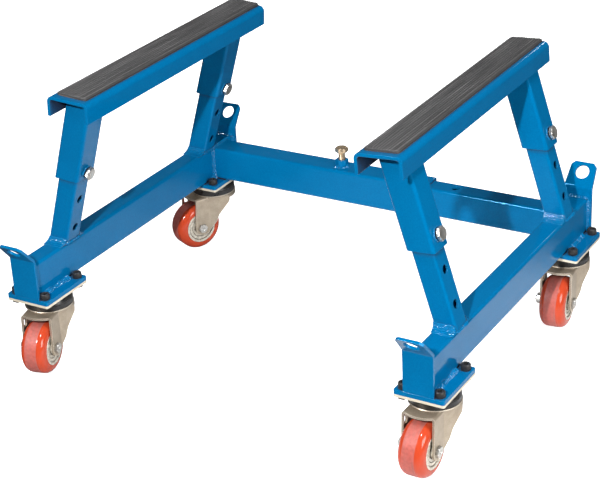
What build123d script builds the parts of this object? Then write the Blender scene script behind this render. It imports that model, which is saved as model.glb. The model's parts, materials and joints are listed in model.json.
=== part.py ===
from build123d import *
from math import cos, radians, sin
import os

# Rolling dolly with two padded bunks on telescoping legs, joined by a telescoping cross tube.
# Millimetres and degrees. +X is the dolly's right, +Y its rear and +Z up.
# The origin is on the floor, under the middle of the whole dolly's box.

# Bottom rails
rail_length = 500.0
rail_width = 30.0
rail_height = 50.0
rail_wall = 3.0
rail_spacing = 589.0
tube_inner_corner = 1.0

# End plates with tie-down ears
end_plate_overhang = 5.5
end_plate_thickness = 4.0
ear_bend_height = 56.5
rear_ear_rise = 6.5
ear_bend_radius = 3.0
ear_angle = 41.0
ear_length = 34.5
ear_taper = 4.0
ear_corner_cut = 5.0
tie_hole_radius = 10.0
tie_hole_height = 20.0

# Caster mount plates, screws and nuts
mount_plate_length = 90.0
mount_plate_thickness = 6.0
mount_plate_overhang = 13.5
plate_corner_radius = 3.0
screw_radius = 4.0
screw_hole_clearance = 0.5
screw_head_radius = 6.5
screw_head_height = 8.0
screw_margin = 9.5
small_hex_flats = 13.0
small_nut_height = 6.5
thin_nut_height = 4.0
thread_stick_out = 2.0
thread_fit = 0.05

# Legs
leg_width = 30.0
leg_wall = 2.5
leg_lean = 17.0
front_leg_setback = 91.9
rear_leg_setback = 71.1
leg_first_hole = 27.0
leg_hole_pitch = 46.0
leg_hole_count = 3
leg_top_margin = 15.0
lock_hole_radius = 5.75

# Sleeves, bunk channels and pads
sleeve_wall = 3.5
sleeve_fit = 0.5
sleeve_bolt_height = 14.6
bunk_rise = 121.0
bunk_overhang = 46.0
bunk_width = 64.0
bunk_height = 28.0
bunk_wall = 4.5
bunk_inner_bend = 3.5
bunk_tilt = 3.5
pad_width = 47.0
pad_base = 3.0
pad_rib_height = 1.2
pad_rib_width = 2.6
pad_rib_count = 11
pad_setback = 10.0

# Cross tubes
cross_height = 50.0
cross_width = 40.0
cross_wall = 3.0
cross_fit = 0.5
cross_setback = 41.0
cross_lift = 0.5
outer_cross_length = 363.0
inner_cross_length = 370.0
inner_cross_wall = 3.0
cross_hole_margin = 28.0
cross_hole_pitch = 62.0
cross_hole_count = 4

# Lock bolts
bolt_radius = 5.0
bolt_fit = 0.08
bolt_hole_clearance = 0.6
bolt_head_flats = 17.0
bolt_head_height = 6.4
bolt_tip_chamfer = 1.0
bolt_tip_gap = 0.3
weld_nut_height = 11.0
sleeve_nut_height = 1.2
leg_bolt_head_height = 4.2
leg_bolt_backed_off = 2.4
cross_bolt_backed_off = 12.3
cross_bolt_turn = 30.0

# Casters
wheel_radius = 36.5
wheel_width = 36.6
tread_width = 15.6
hub_radius = 24.5
hub_rim_width = 3.4
hub_recess = 3.5
hub_boss_radius = 9.5
hub_boss_length = 38.4
hub_face_step = 1.2
tyre_bond = 0.02
caster_trail = 37.0
axle_radius = 4.0
axle_fit = 0.06
axle_head_height = 3.4
fork_wall = 3.0
fork_side_gap = 0.3
fork_toe = 8.0
fork_end_radius = 11.3
fork_end_flat = 0.6
fork_heel = 10.0
fork_waist_back = 24.0
fork_waist_rise = 6.0
fork_shoulder_back = 29.0
fork_shoulder_rise = 18.0
fork_side_back = 46.0
fork_corner_radius = 5.0
fork_shoulder_radius = 10.0
fork_lip = 6.0
fork_shoulder_drop = 10.0
fork_inner_bend = 1.0
fork_crease = 22.0
crown_radius = 34.0
crown_join_angle = 100.0
crown_clearance = 10.0
crown_nose = 5.0
slot_length = 11.0
slot_width = 7.0
slot_back = 5.5
slot_drop = 13.5
ring_radius = 33.0
ring_top_radius = 30.0
ring_bore = 15.0
ring_band = 10.0
ring_height = 17.2
swivel_gap = 0.3
caster_plate_thickness = 3.5
kingpin_radius = 6.5
kingpin_fit = 0.05
kingpin_head_radius = 11.0
kingpin_head_height = 5.0

# Direction from each kingpin to its wheel, measured from +X towards +Y
swivel_angles = {
    "left_front": -76.8,
    "right_front": -90.7,
    "left_rear": -116.0,
    "right_rear": -84.2,
}

# Sizes that follow from those above
crown_top = 2 * wheel_radius + crown_clearance + fork_wall
crown_underside = crown_top - fork_wall
caster_plate_bottom = crown_top + ring_height + swivel_gap
caster_height = caster_plate_bottom + caster_plate_thickness
rail_bottom = caster_height + mount_plate_thickness
rail_top = rail_bottom + rail_height
half_length = rail_length / 2 + end_plate_thickness
end_plate_width = rail_width + 2 * end_plate_overhang
mount_plate_width = end_plate_width + 2 * mount_plate_overhang
screw_offset_x = mount_plate_width / 2 - screw_margin
screw_offset_y = mount_plate_length / 2 - screw_margin
kingpin_y = half_length - mount_plate_length / 2
rail_inner_x = rail_spacing / 2 - rail_width / 2
bolt_station = leg_first_hole + (leg_hole_count - 1) * leg_hole_pitch
leg_length = bolt_station + leg_top_margin
leg_spacing = 2 * half_length - front_leg_setback - rear_leg_setback
bunk_shift = (front_leg_setback - rear_leg_setback) / 2
bunk_length = leg_spacing + 2 * bunk_overhang
sleeve_width = leg_width + 2 * (sleeve_fit + sleeve_wall)
sleeve_station = bolt_station - sleeve_bolt_height
bunk_station = bolt_station + bunk_rise
cross_y = half_length - cross_setback
cross_z = rail_bottom + cross_lift + cross_height / 2
inner_cross_height = cross_height - 2 * (cross_wall + cross_fit)
inner_cross_width = cross_width - 2 * (cross_wall + cross_fit)
lock_x = rail_inner_x - inner_cross_length + cross_hole_margin
fork_inner = hub_boss_length / 2 + fork_side_gap
fork_outer = fork_inner + fork_wall
fork_outer_bend = fork_inner_bend + fork_wall
lock_bore = bolt_radius + bolt_fit
sides = {"left": -1, "right": 1}
ends = {"front": -1, "rear": 1}

nodes = {}


def add(name, *solids):
    """Keep one piece, or a group of like pieces, under its node name."""
    nodes[name] = list(solids)


def rectangular_tube(width, depth, wall, length):
    """Square-cut tube that runs up from the XY plane, with rounded corners inside and out."""
    outer = RectangleRounded(width, depth, wall + tube_inner_corner)
    inner = RectangleRounded(width - 2 * wall, depth - 2 * wall, tube_inner_corner)
    return extrude(outer - inner, length)


def face_between(*lines):
    """Face inside lines and arcs that follow one another round it."""
    return make_face([edge for line in lines for edge in line.edges()])


def hexagon(flats):
    """Hexagon across its flats."""
    return RegularPolygon(flats / 2, 6, major_radius=False)


def hex_nut(flats, height, bore):
    """Hex nut that stands on the XY plane."""
    return extrude(hexagon(flats) - Circle(bore), height)


def hex_bolt(radius, flats, head_height, shank_length):
    """Hex bolt with the underside of its head on the XY plane and its shank pointing down."""
    shank = Pos(0, 0, -shank_length) * extrude(Circle(radius), shank_length)
    tip = shank.edges().group_by(Axis.Z)[0]
    return extrude(hexagon(flats), head_height) + chamfer(tip, bolt_tip_chamfer)


def leg_plane(side, y, station):
    """Plane across a leg, at a distance up the leg from the rail; its X faces the dolly's right."""
    lean = radians(leg_lean)
    origin = (
        side * (rail_spacing / 2 - sin(lean) * station),
        y,
        rail_top + cos(lean) * station,
    )
    return Plane(origin, x_dir=(cos(lean), 0, side * sin(lean)), z_dir=(-side * sin(lean), 0, cos(lean)))


def bunk_plane(side, station):
    """Plane parallel to a bunk's web, through the leg's axis at a station."""
    tilt = radians(bunk_tilt)
    origin = leg_plane(side, bunk_shift, station).origin
    return Plane(origin, x_dir=(cos(tilt), 0, side * sin(tilt)), z_dir=(-side * sin(tilt), 0, cos(tilt)))


def side_hole(plane, radius, reach):
    """Round cutter along a leg plane's X, through both walls."""
    return Plane(plane.origin, x_dir=plane.y_dir, z_dir=plane.x_dir) * Cylinder(radius, 2 * reach)


def cross_section_plane(side):
    """Section of a bunk at its rear end; its X runs across the bunk and its Y stands off the web."""
    web = bunk_plane(side, bunk_station)
    origin = web.origin + Vector(0, bunk_length / 2, 0)
    return Plane(origin, x_dir=web.x_dir, z_dir=(0, -1, 0))


def make_rail():
    tube = rectangular_tube(rail_width, rail_height, rail_wall, rail_length)
    return Pos(0, rail_length / 2, rail_bottom + rail_height / 2) * Rot(90, 0, 0) * tube


def make_end_plate(bend_height):
    """End plate for the rear: a flat foot, a bend and a tapered ear that leans to the rear."""
    bend = radians(ear_angle)

    def bend_point(radius, angle):
        return (ear_bend_radius - radius * cos(angle), bend_height + radius * sin(angle))

    outside = ear_bend_radius + end_plate_thickness
    profile = face_between(
        Line((-end_plate_thickness, bend_height), (-end_plate_thickness, 0)),
        Line((-end_plate_thickness, 0), (0, 0)),
        Line((0, 0), (0, bend_height)),
        ThreePointArc(*[bend_point(ear_bend_radius, bend * share) for share in (0, 0.5, 1)]),
        Line(bend_point(ear_bend_radius, bend), bend_point(outside, bend)),
        ThreePointArc(*[bend_point(outside, bend * share) for share in (1, 0.5, 0)]),
    )
    section = Plane((-end_plate_width / 2, half_length, rail_bottom), x_dir=(0, 1, 0), z_dir=(1, 0, 0))
    plate = extrude(section * profile, end_plate_width)
    start = Vector(
        0,
        half_length + ear_bend_radius * (1 - cos(bend)),
        rail_bottom + bend_height + ear_bend_radius * sin(bend),
    )
    ear_plane = Plane(start, x_dir=(1, 0, 0), z_dir=(0, -cos(bend), sin(bend)))
    half_root = end_plate_width / 2
    half_tip = half_root - ear_taper / 2
    outline = Polygon(
        (-half_root, 0),
        (half_root, 0),
        (half_tip, ear_length - ear_corner_cut),
        (half_tip - ear_corner_cut, ear_length),
        (ear_corner_cut - half_tip, ear_length),
        (-half_tip, ear_length - ear_corner_cut),
        align=None,
    )
    outline -= Pos(0, tie_hole_height) * Circle(tie_hole_radius)
    return plate + extrude(ear_plane * outline, end_plate_thickness)


def plate_with_holes(thickness, hole_radius):
    """Rounded plate with the four caster screw holes, standing on the XY plane."""
    outline = RectangleRounded(mount_plate_width, mount_plate_length, plate_corner_radius)
    for spot in screw_spots():
        outline -= spot * Circle(hole_radius)
    return extrude(outline, thickness)


def screw_spots():
    return [Pos(sx * screw_offset_x, sy * screw_offset_y) for sx in (-1, 1) for sy in (-1, 1)]


def make_screw():
    """Socket-head screw with its head on the mount plate and its tip below the nut."""
    head = Pos(0, 0, rail_bottom) * extrude(Circle(screw_head_radius), screw_head_height)
    tip_z = caster_plate_bottom - thin_nut_height - thread_stick_out
    return head + Pos(0, 0, tip_z) * extrude(Circle(screw_radius), rail_bottom - tip_z)


def make_screw_nut():
    nut = hex_nut(small_hex_flats, thin_nut_height, screw_radius + thread_fit)
    return Pos(0, 0, caster_plate_bottom - thin_nut_height) * nut


def make_leg(side, y):
    """Leaning leg, cut level at the rail and drilled across for the lock bolt."""
    foot = leg_plane(side, y, -leg_width)
    leg = foot * rectangular_tube(leg_width, leg_width, leg_wall, leg_length + leg_width)
    leg = split(leg, bisect_by=Plane.XY.offset(rail_top), keep=Keep.TOP)
    for index in range(leg_hole_count):
        station = leg_first_hole + index * leg_hole_pitch
        leg -= side_hole(leg_plane(side, y, station), lock_hole_radius, leg_width)
    return leg


def sleeve_face(side, y, height):
    """Plane that stands off the sleeve's right-hand face at the lock bolt."""
    plane = leg_plane(side, y, bolt_station)
    origin = plane.origin + plane.x_dir * (sleeve_width / 2 + height)
    return Plane(origin, x_dir=plane.y_dir, z_dir=plane.x_dir)


def make_sleeve(side, y):
    """Upper sleeve, cut level with the bunk at both ends, with a hole for the bolt in its right-hand face."""
    bottom = leg_plane(side, y, sleeve_station - sleeve_width)
    reach = bunk_station - sleeve_station + 2 * sleeve_width
    sleeve = bottom * rectangular_tube(sleeve_width, sleeve_width, sleeve_wall, reach)
    web_underside = bunk_plane(side, bunk_station).offset(-bunk_wall)
    sleeve = split(sleeve, bisect_by=web_underside, keep=Keep.BOTTOM)
    sleeve = split(sleeve, bisect_by=bunk_plane(side, sleeve_station), keep=Keep.TOP)
    return sleeve - sleeve_face(side, y, -sleeve_wall) * Cylinder(lock_bore, 4 * sleeve_wall)


def make_sleeve_nut(side, y):
    """Thin hexagonal plate welded to the sleeve's right-hand face and tapped for the bolt."""
    return sleeve_face(side, y, 0) * hex_nut(bolt_head_flats, sleeve_nut_height, lock_bore)


def make_channel(side):
    """Bunk channel: one bent sheet with its two flanges pointing down."""
    outer = Pos(0, -bunk_height / 2) * Rectangle(bunk_width, bunk_height)
    outer = fillet(outer.vertices().group_by(Axis.Y)[-1], bunk_inner_bend + bunk_wall)
    room_height = bunk_height - bunk_wall
    room = Pos(0, -bunk_wall - room_height / 2) * Rectangle(bunk_width - 2 * bunk_wall, room_height)
    room = fillet(room.vertices().group_by(Axis.Y)[-1], bunk_inner_bend)
    return extrude(cross_section_plane(side) * (outer - room), bunk_length)


def make_pad(side):
    """Rubber pad with ribs along its length, flush with the bunk's rear end."""
    profile = Pos(0, pad_base / 2) * Rectangle(pad_width, pad_base)
    rib_pitch = (pad_width - pad_rib_width) / (pad_rib_count - 1)
    for index in range(pad_rib_count):
        across = pad_rib_width / 2 - pad_width / 2 + index * rib_pitch
        profile += Pos(across, pad_base + pad_rib_height / 2) * Rectangle(pad_rib_width, pad_rib_height)
    return extrude(cross_section_plane(side) * profile, bunk_length - pad_setback)


def make_leg_bolt(side, y):
    """Height lock bolt, backed off so that its tip stands just clear of the leg."""
    seat = sleeve_nut_height + leg_bolt_backed_off
    shank = seat + sleeve_wall + sleeve_fit - bolt_tip_gap
    bolt = hex_bolt(bolt_radius, bolt_head_flats, leg_bolt_head_height, shank)
    return sleeve_face(side, y, seat) * bolt


def make_outer_cross():
    tube = rectangular_tube(cross_height, cross_width, cross_wall, outer_cross_length)
    tube = Pos(-rail_inner_x, cross_y, cross_z) * Rot(0, 90, 0) * tube
    top = cross_z + cross_height / 2
    hole = extrude(Circle(bolt_radius + bolt_hole_clearance), 2 * cross_wall)
    return tube - Pos(lock_x, cross_y, top - 2 * cross_wall) * hole


def make_inner_cross():
    tube = rectangular_tube(inner_cross_height, inner_cross_width, inner_cross_wall, inner_cross_length)
    tube = Pos(rail_inner_x - inner_cross_length, cross_y, cross_z) * Rot(0, 90, 0) * tube
    top = cross_z + inner_cross_height / 2
    for index in range(cross_hole_count):
        hole = extrude(Circle(lock_hole_radius), 2 * inner_cross_wall)
        tube -= Pos(lock_x + index * cross_hole_pitch, cross_y, top - 2 * inner_cross_wall + cross_fit) * hole
    return tube


def make_lock_nut():
    top = cross_z + cross_height / 2
    nut = hex_nut(bolt_head_flats, weld_nut_height, lock_bore)
    return Pos(lock_x, cross_y, top) * Rot(0, 0, cross_bolt_turn) * nut


def make_cross_bolt():
    """Width lock bolt, backed off so that its tip stands just clear of the inner tube."""
    tip_z = cross_z + inner_cross_height / 2 + bolt_tip_gap
    seat_z = cross_z + cross_height / 2 + weld_nut_height + cross_bolt_backed_off
    bolt = hex_bolt(bolt_radius, bolt_head_flats, bolt_head_height, seat_z - tip_z)
    return Pos(lock_x, cross_y, seat_z) * Rot(0, 0, cross_bolt_turn) * bolt


def make_caster_plate():
    plate = plate_with_holes(caster_plate_thickness, screw_radius + screw_hole_clearance)
    bore = extrude(Circle(kingpin_radius + kingpin_fit), caster_plate_thickness)
    return Pos(0, 0, caster_plate_bottom) * (plate - bore)


def make_kingpin():
    """Kingpin: flush with the caster plate's top, with a head under the fork's crown."""
    head_top = crown_underside - swivel_gap
    half = face_between(
        Polyline(
            (0, caster_height),
            (kingpin_radius, caster_height),
            (kingpin_radius, head_top),
            (kingpin_head_radius, head_top),
            (kingpin_head_radius, head_top - kingpin_head_height),
            (0, head_top - kingpin_head_height),
            close=True,
        )
    )
    return revolve(Plane.XZ * half, Axis.Z)


def make_swivel_ring():
    """Black ring between the fork's crown and the caster plate, tapered towards the plate."""
    top = crown_top + ring_height
    half = face_between(
        Polyline(
            (ring_bore, crown_top),
            (ring_radius, crown_top),
            (ring_radius, crown_top + ring_band),
            (ring_top_radius, top),
            (ring_bore, top),
            close=True,
        )
    )
    return revolve(Plane.XZ * half, Axis.Z)


def crown_outline():
    """Plan of the fork: round behind the kingpin, flaring in to two flat sides that reach forward."""
    join = radians(crown_join_angle)
    join_x = crown_radius * cos(join)
    join_y = crown_radius * sin(join)
    front = caster_trail + fork_end_radius + fork_wall
    return face_between(
        Polyline((join_x, join_y), (fork_crease, fork_outer), (front, fork_outer)),
        Line((front, fork_outer), (front, -fork_outer)),
        Polyline((front, -fork_outer), (fork_crease, -fork_outer), (join_x, -join_y)),
        ThreePointArc((join_x, -join_y), (-crown_radius, 0), (join_x, join_y)),
    )


def fork_side_view():
    """Side view of the fork, with X forward to the wheel and Y up."""
    axle_z = wheel_radius
    toe = caster_trail + fork_end_radius
    foot = axle_z - fork_end_radius
    corners = [
        ((caster_trail + fork_toe, crown_top), 0),
        ((toe, axle_z), fork_end_radius),
        ((toe, foot), fork_end_radius - fork_end_flat),
        ((caster_trail - fork_heel, foot), fork_corner_radius),
        ((caster_trail - fork_waist_back, axle_z + fork_waist_rise), fork_corner_radius),
        ((caster_trail - fork_shoulder_back, axle_z + fork_shoulder_rise), fork_shoulder_radius),
        ((caster_trail - fork_side_back, crown_top - fork_shoulder_drop), fork_corner_radius),
        ((caster_trail - fork_side_back, crown_top - fork_lip), 0),
        ((-crown_radius - fork_wall, crown_top - fork_lip), 0),
        ((-crown_radius - fork_wall, crown_top), 0),
    ]
    points = [point for point, _ in corners]
    return face_between(FilletPolyline(points, radius=[radius for _, radius in corners], close=True))


def make_crown_nose():
    """Front edge of the fork's crown, bowed forward between the two legs."""
    edge = caster_trail + fork_toe - fork_wall
    half = fork_inner - fork_inner_bend
    plan = face_between(
        Line((edge, half), (edge, -half)),
        Line((edge, -half), (edge + fork_wall, -half)),
        ThreePointArc(
            (edge + fork_wall, -half),
            (edge + fork_wall + crown_nose, 0),
            (edge + fork_wall, half),
        ),
        Line((edge + fork_wall, half), (edge, half)),
    )
    return Pos(0, 0, crown_underside) * extrude(plan, fork_wall)


def make_fork():
    """Bent-sheet fork: a crown over the wheel and two legs, in the wheel's own directions."""
    foot = wheel_radius - fork_end_radius
    plan = crown_outline()
    shell = Pos(0, 0, foot) * extrude(plan, crown_top - foot)
    shell = fillet(shell.edges().group_by(Axis.Z)[-1], fork_outer_bend)
    room_plan = offset(plan, -fork_wall, kind=Kind.INTERSECTION)
    room = Pos(0, 0, foot) * extrude(room_plan, crown_underside - foot)
    room = fillet(room.edges().group_by(Axis.Z)[-1], fork_inner_bend)
    side_plane = Plane((0, 0, 0), x_dir=(1, 0, 0), z_dir=(0, -1, 0))
    side_view = extrude(side_plane * fork_side_view(), 2 * crown_radius, both=True)
    fork = ((shell - room) & side_view) + make_crown_nose()
    axle = Pos(caster_trail, 0, wheel_radius) * Rot(90, 0, 0)
    axle_hole = axle * Cylinder(axle_radius + axle_fit, 4 * fork_outer)
    pin_hole = Pos(0, 0, crown_top) * Cylinder(kingpin_radius + kingpin_fit, 4 * fork_wall)
    slot_spot = Pos(caster_trail + fork_toe - slot_back, -fork_outer, crown_top - slot_drop)
    slot = slot_spot * Box(slot_width, 4 * fork_wall, slot_length)
    return fork - axle_hole - pin_hole - slot


def make_axle():
    """Axle bolt with its head on one leg of the fork, and its nut on the other."""
    grip = 2 * fork_outer
    length = grip + small_nut_height + thread_stick_out
    bolt = hex_bolt(axle_radius, small_hex_flats, axle_head_height, length)
    nut = hex_nut(small_hex_flats, small_nut_height, axle_radius + thread_fit)
    nut = Pos(0, 0, -grip - small_nut_height) * nut
    place = Pos(caster_trail, fork_outer, wheel_radius) * Rot(-90, 0, 0)
    return place * bolt, place * nut


def spin_about_axle(half):
    """Revolve a half section, drawn with X along the axle and Y as the radius."""
    section = Plane((caster_trail, 0, wheel_radius), x_dir=(0, 1, 0), z_dir=(-1, 0, 0))
    return revolve(section * half, Axis((caster_trail, 0, wheel_radius), (0, 1, 0)))


def make_tyre():
    """Tyre with a flat tread and shoulders that round off to the hub's rim, bonded to the hub."""
    side = wheel_width / 2
    tread = tread_width / 2
    bore = hub_radius + tyre_bond
    shoulder = side - tread
    depth = wheel_radius - bore
    half = face_between(
        Line((-side, bore), (side, bore)),
        EllipticalCenterArc((tread, bore), shoulder, depth, 0, arc_size=90),
        Line((tread, wheel_radius), (-tread, wheel_radius)),
        EllipticalCenterArc((-tread, bore), shoulder, depth, 90, arc_size=90),
    )
    return spin_about_axle(half)


def make_hub():
    """Hub with a stepped dish in each face and a boss that runs on the axle."""
    side = wheel_width / 2
    rim = hub_radius - hub_rim_width
    step = (rim + hub_boss_radius) / 2
    bore = axle_radius + axle_fit
    right = [
        (side, hub_radius),
        (side, rim),
        (side - hub_recess, rim),
        (side - hub_recess, step),
        (side - hub_recess + hub_face_step, step),
        (side - hub_recess + hub_face_step, hub_boss_radius),
        (hub_boss_length / 2, hub_boss_radius),
        (hub_boss_length / 2, bore),
    ]
    left = [(-across, radius) for across, radius in reversed(right)]
    return spin_about_axle(face_between(Polyline(right + left, close=True)))


def make_caster(corner, place):
    """All the pieces that swivel at one corner of the dolly."""
    swivel = place * Rot(0, 0, swivel_angles[corner])
    add(corner + "_fork", swivel * make_fork())
    add(corner + "_swivel_ring", swivel * make_swivel_ring())
    add(corner + "_axle_bolt", *[swivel * piece for piece in make_axle()])
    add(corner + "_tyre", swivel * make_tyre())
    add(corner + "_hub", swivel * make_hub())


def make_side(name, side):
    """One side frame with its casters, and the bunk that slides on its legs."""
    middle = Pos(side * rail_spacing / 2, 0, 0)
    screws = []
    nuts = []
    kingpins = []
    add(name + "_rail", middle * make_rail())
    for end_name, end in ends.items():
        corner = name + "_" + end_name
        place = middle * Pos(0, end * kingpin_y, 0)
        if end > 0:
            end_plate = make_end_plate(ear_bend_height + rear_ear_rise)
        else:
            end_plate = mirror(make_end_plate(ear_bend_height), about=Plane.XZ)
        leg_y = bunk_shift + end * leg_spacing / 2
        add(corner + "_end_plate", middle * end_plate)
        mount = plate_with_holes(mount_plate_thickness, screw_radius + screw_hole_clearance)
        add(corner + "_mount_plate", place * Pos(0, 0, caster_height) * mount)
        add(corner + "_leg", make_leg(side, leg_y))
        add(corner + "_sleeve", make_sleeve(side, leg_y), make_sleeve_nut(side, leg_y))
        add(corner + "_leg_bolt", make_leg_bolt(side, leg_y))
        add(corner + "_caster_plate", place * make_caster_plate())
        screws += [place * spot * make_screw() for spot in screw_spots()]
        nuts += [place * spot * make_screw_nut() for spot in screw_spots()]
        kingpins.append(place * make_kingpin())
        make_caster(corner, place)
    add(name + "_caster_screws", *screws)
    add(name + "_caster_nuts", *nuts)
    add(name + "_kingpins", *kingpins)
    add(name + "_bunk_channel", make_channel(side))
    add(name + "_pad", make_pad(side))


for side_name, side_sign in sides.items():
    make_side(side_name, side_sign)
add("outer_cross_tube", make_outer_cross())
add("inner_cross_tube", make_inner_cross())
add("cross_lock_nut", make_lock_nut())
add("cross_lock_bolt", make_cross_bolt())

# Move everything so that the origin is under the middle of the whole dolly
whole = Compound([solid for solids in nodes.values() for solid in solids]).bounding_box()
to_origin = Pos(-whole.center().X, -whole.center().Y, -whole.min.Z)
os.makedirs("parts", exist_ok=True)
for node_name, solids in nodes.items():
    placed = [to_origin * solid for solid in solids]
    shape = placed[0] if len(placed) == 1 else Compound(placed)
    export_step(shape, f"parts/{node_name}.step")
print(f"{len(nodes)} nodes, {whole.size.X:.2f} x {whole.size.Y:.2f} x {whole.size.Z:.2f} mm")
print(f"moved by {to_origin.position.X:.4f}, {to_origin.position.Y:.4f}, {to_origin.position.Z:.4f} mm")
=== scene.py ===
# %% [markdown]
# # A rolling shop dolly
# The dolly is two welded side frames on swivel casters, joined by a telescoping cross tube, with a padded
# bunk on each side. The steel pieces come from the CAD model, which is loaded first and never moved.
# Everything else in this file is finish: paint, plating, rubber, welds and the small hardware that the CAD
# leaves plain.

# %% Load the frame
import json
import math
import bmesh
import bpy
from mathutils import Matrix, Vector, noise

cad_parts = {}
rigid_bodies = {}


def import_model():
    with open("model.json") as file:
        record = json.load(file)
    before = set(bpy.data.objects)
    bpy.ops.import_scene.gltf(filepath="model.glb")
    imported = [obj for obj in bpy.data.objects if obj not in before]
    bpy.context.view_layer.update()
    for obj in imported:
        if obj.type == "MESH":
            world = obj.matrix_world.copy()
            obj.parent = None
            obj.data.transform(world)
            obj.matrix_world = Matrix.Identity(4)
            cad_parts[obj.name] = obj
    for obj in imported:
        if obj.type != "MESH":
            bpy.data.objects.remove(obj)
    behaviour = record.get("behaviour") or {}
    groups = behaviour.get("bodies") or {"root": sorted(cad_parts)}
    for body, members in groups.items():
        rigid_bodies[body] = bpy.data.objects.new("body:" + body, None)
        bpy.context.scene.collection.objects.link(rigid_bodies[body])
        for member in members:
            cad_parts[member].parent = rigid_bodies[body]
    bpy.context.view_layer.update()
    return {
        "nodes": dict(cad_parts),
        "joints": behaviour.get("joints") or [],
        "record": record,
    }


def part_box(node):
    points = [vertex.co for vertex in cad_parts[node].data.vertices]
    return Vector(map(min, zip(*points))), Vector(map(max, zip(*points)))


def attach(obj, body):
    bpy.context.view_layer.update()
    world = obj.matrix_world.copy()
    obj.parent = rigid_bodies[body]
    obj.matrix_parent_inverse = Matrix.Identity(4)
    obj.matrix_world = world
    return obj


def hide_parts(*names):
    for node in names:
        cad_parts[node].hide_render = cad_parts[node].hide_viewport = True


for spare in list(bpy.data.objects):
    bpy.data.objects.remove(spare)
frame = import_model()
nodes = frame["nodes"]
joints = {joint["name"]: joint for joint in frame["joints"]}
mounts = {mount["name"]: mount for mount in frame["record"]["mounts"]}
SIDES = ("left", "right")
CORNERS = ("left_front", "right_front", "left_rear", "right_rear")
MM = 0.001

# %% [markdown]
# ## Camera
# The photograph was taken from the front right, a little above the bunks, with a long lens. The camera stands
# at an offset from the middle of the two rails, and turns by three angles, so that the same steel edges fall
# on the same pixels. A long lens keeps the four casters nearly the same size.

# %% Camera
rail_boxes = {side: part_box(side + "_rail") for side in SIDES}
rails_middle = (Vector(rail_boxes["left"][0]) + Vector(rail_boxes["right"][1])) / 2
CAMERA_OFFSET = Vector((1.0689, -1.7699, 0.0))
CAMERA_HEIGHT = 1.1413
CAMERA_AZIMUTH = math.radians(31.434)
CAMERA_ELEVATION = math.radians(25.715)
CAMERA_ROLL = math.radians(-3.079)
LENS_MM = 100.04
SENSOR_MM = 36.0


def camera_turn():
    """Right, up and backward directions of the camera, as the columns of a turn."""
    az, el = CAMERA_AZIMUTH, CAMERA_ELEVATION
    forward = Vector((-math.sin(az) * math.cos(el), math.cos(az) * math.cos(el), -math.sin(el)))
    level_right = Vector((math.cos(az), math.sin(az), 0))
    level_up = level_right.cross(forward)
    right = level_right * math.cos(CAMERA_ROLL) + level_up * math.sin(CAMERA_ROLL)
    up = level_up * math.cos(CAMERA_ROLL) - level_right * math.sin(CAMERA_ROLL)
    return Matrix((right, up, -forward)).transposed().to_4x4()


camera_data = bpy.data.cameras.new("camera")
camera_data.lens = LENS_MM
camera_data.sensor_width = SENSOR_MM
camera = bpy.data.objects.new("camera", camera_data)
bpy.context.scene.collection.objects.link(camera)
camera_place = Vector((rails_middle.x, rails_middle.y, CAMERA_HEIGHT)) + CAMERA_OFFSET
camera.matrix_world = Matrix.Translation(camera_place) @ camera_turn()
bpy.context.scene.camera = camera
print("camera at", [round(v, 3) for v in camera_place])

# %% [markdown]
# ## Light
# The shadows in the photograph are crisp and all agree on one lamp, a little right of the front and low. A
# large soft lamp on the right makes the right-hand faces nearly as bright as the front, one overhead lifts
# the tops, a weak one at the front left fills the wheels' left sides, and a soft one behind keeps the back
# readable. Three more lamps only glint: they light no face, but draw the white lines on rounded corners,
# welds and tyres. A dim world keeps the far sides from going black. One big lamp would be simpler, but it
# can't give crisp shadows and soft sides at once.

# %% Lamps
LAMP_DISTANCE = 2.4
LAMP_AIM = Vector((0, 0, 0.2))
# Each row has a name, degrees round from the front, degrees up, watts, a size in metres and a purpose:
# "light" only lights, "glint" is only mirrored in glossy faces, and "both" does both.
LAMPS = (
    ("lamp_key", 14, 32, 60, 0.06, "light"),
    ("lamp_right", 75, 20, 40, 1.1, "both"),
    ("lamp_overhead", 25, 70, 18, 0.10, "both"),
    ("lamp_back", -138, 14, 36, 1.2, "light"),
    ("lamp_front_left", -42, 9, 9, 1.2, "light"),
    ("glint_front_left", -22, 36, 45, 0.25, "glint"),
    ("glint_overhead", 31, 69, 30, 0.07, "glint"),
    ("glint_behind", 176, 30, 0.8, 0.08, "glint"),
)


def add_lamp(name, azimuth, elevation, power, size, purpose):
    """Square lamp that aims at the middle of the dolly from a compass direction."""
    az, el = math.radians(azimuth), math.radians(elevation)
    way = Vector((math.cos(el) * math.sin(az), -math.cos(el) * math.cos(az), math.sin(el)))
    data = bpy.data.lights.new(name, "AREA")
    data.size = size
    data.energy = power
    lamp = bpy.data.objects.new(name, data)
    bpy.context.scene.collection.objects.link(lamp)
    lamp.visible_diffuse = purpose != "glint"
    lamp.visible_glossy = purpose != "light"
    turn = way.to_track_quat("Z", "Y").to_matrix().to_4x4()
    lamp.matrix_world = Matrix.Translation(LAMP_AIM + way * LAMP_DISTANCE) @ turn


for row in LAMPS:
    add_lamp(*row)
bpy.context.scene.view_settings.view_transform = "Standard"
print("lamps:", [light.name for light in bpy.data.lights])

# %% World
WORLD_LIGHT = 0.11
WORLD_MIRRORED = 0.05
WORLD_SEEN = 0.95


def feed(tree, value, socket):
    """Wire another node's output to an input, or set the input to a number or a colour."""
    if isinstance(value, bpy.types.NodeSocket):
        tree.links.new(value, socket)
    elif isinstance(value, tuple):
        socket.default_value = (*value, 1)
    else:
        socket.default_value = value


def computed(tree, operation, *values):
    """Result of a math node that works on numbers or on the outputs of other nodes."""
    maths = tree.nodes.new("ShaderNodeMath")
    maths.operation = operation
    for value, socket in zip(values, maths.inputs):
        feed(tree, value, socket)
    return maths.outputs[0]


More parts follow.
